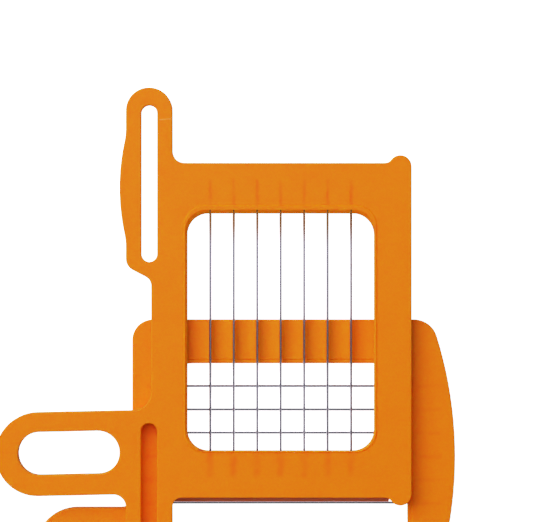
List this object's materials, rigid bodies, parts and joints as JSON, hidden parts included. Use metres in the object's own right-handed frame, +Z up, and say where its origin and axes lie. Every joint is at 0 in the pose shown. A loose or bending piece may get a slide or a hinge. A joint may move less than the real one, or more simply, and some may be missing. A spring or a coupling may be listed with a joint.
{
  "type": "egg slicer",
  "caption": "Egg slicer of two flat strung frames, one lying on the other, that slide and swing apart on a pivot; finger loops and a slotted bar.",
  "frame": {"origin": "under the middle of the bounding box, in the plane it lies on", "axes": "+Y along the slotted bar, +X across it towards the swollen side, +Z up out of the faces"},
  "size_m": [0.1094, 0.1212, 0.0114],
  "materials": {
    "frame_plastic": "satin moulded",
    "blade_steel": "bright rolled",
    "clamp_steel": "pressed sheet",
    "fastener_steel": "bright",
    "shoe_nylon": "natural"
  },
  "bodies": {
    "rear_frame": {"rear_frame": "frame_plastic", "rear_blade_1": "blade_steel", "rear_blade_2": "blade_steel", "rear_blade_3": "blade_steel", "rear_blade_4": "blade_steel", "rear_blade_5": "blade_steel", "rear_blade_6": "blade_steel", "rear_blade_7": "blade_steel", "rear_clamp_left": "clamp_steel", "rear_clamp_right": "clamp_steel", "rear_clamp_screws": "fastener_steel", "pivot_washer": "fastener_steel", "spring_washer": "fastener_steel", "pivot_screw": "fastener_steel", "pivot_nut": "fastener_steel"},
    "slot_shoe": {"slot_shoe": "shoe_nylon"},
    "front_frame": {"front_frame": "frame_plastic", "front_blade_1": "blade_steel", "front_blade_2": "blade_steel", "front_blade_3": "blade_steel", "front_blade_4": "blade_steel", "front_blade_5": "blade_steel", "front_blade_6": "blade_steel", "front_blade_7": "blade_steel", "front_clamp_top": "clamp_steel", "front_clamp_bottom": "clamp_steel", "front_clamp_screws": "fastener_steel"}
  },
  "joints": [
    {"name": "front_frame_swing", "type": "hinge", "parent": "rear_frame", "child": "slot_shoe", "pos_m": [-0.0182, -0.05265, 0], "axis": [0, 0, 1], "range_deg": [0, 100]},
    {"name": "front_frame_slide", "type": "slide", "parent": "slot_shoe", "child": "front_frame", "axis": [0, 1, 0], "range_m": [-0.02975, 0]}
  ]
}
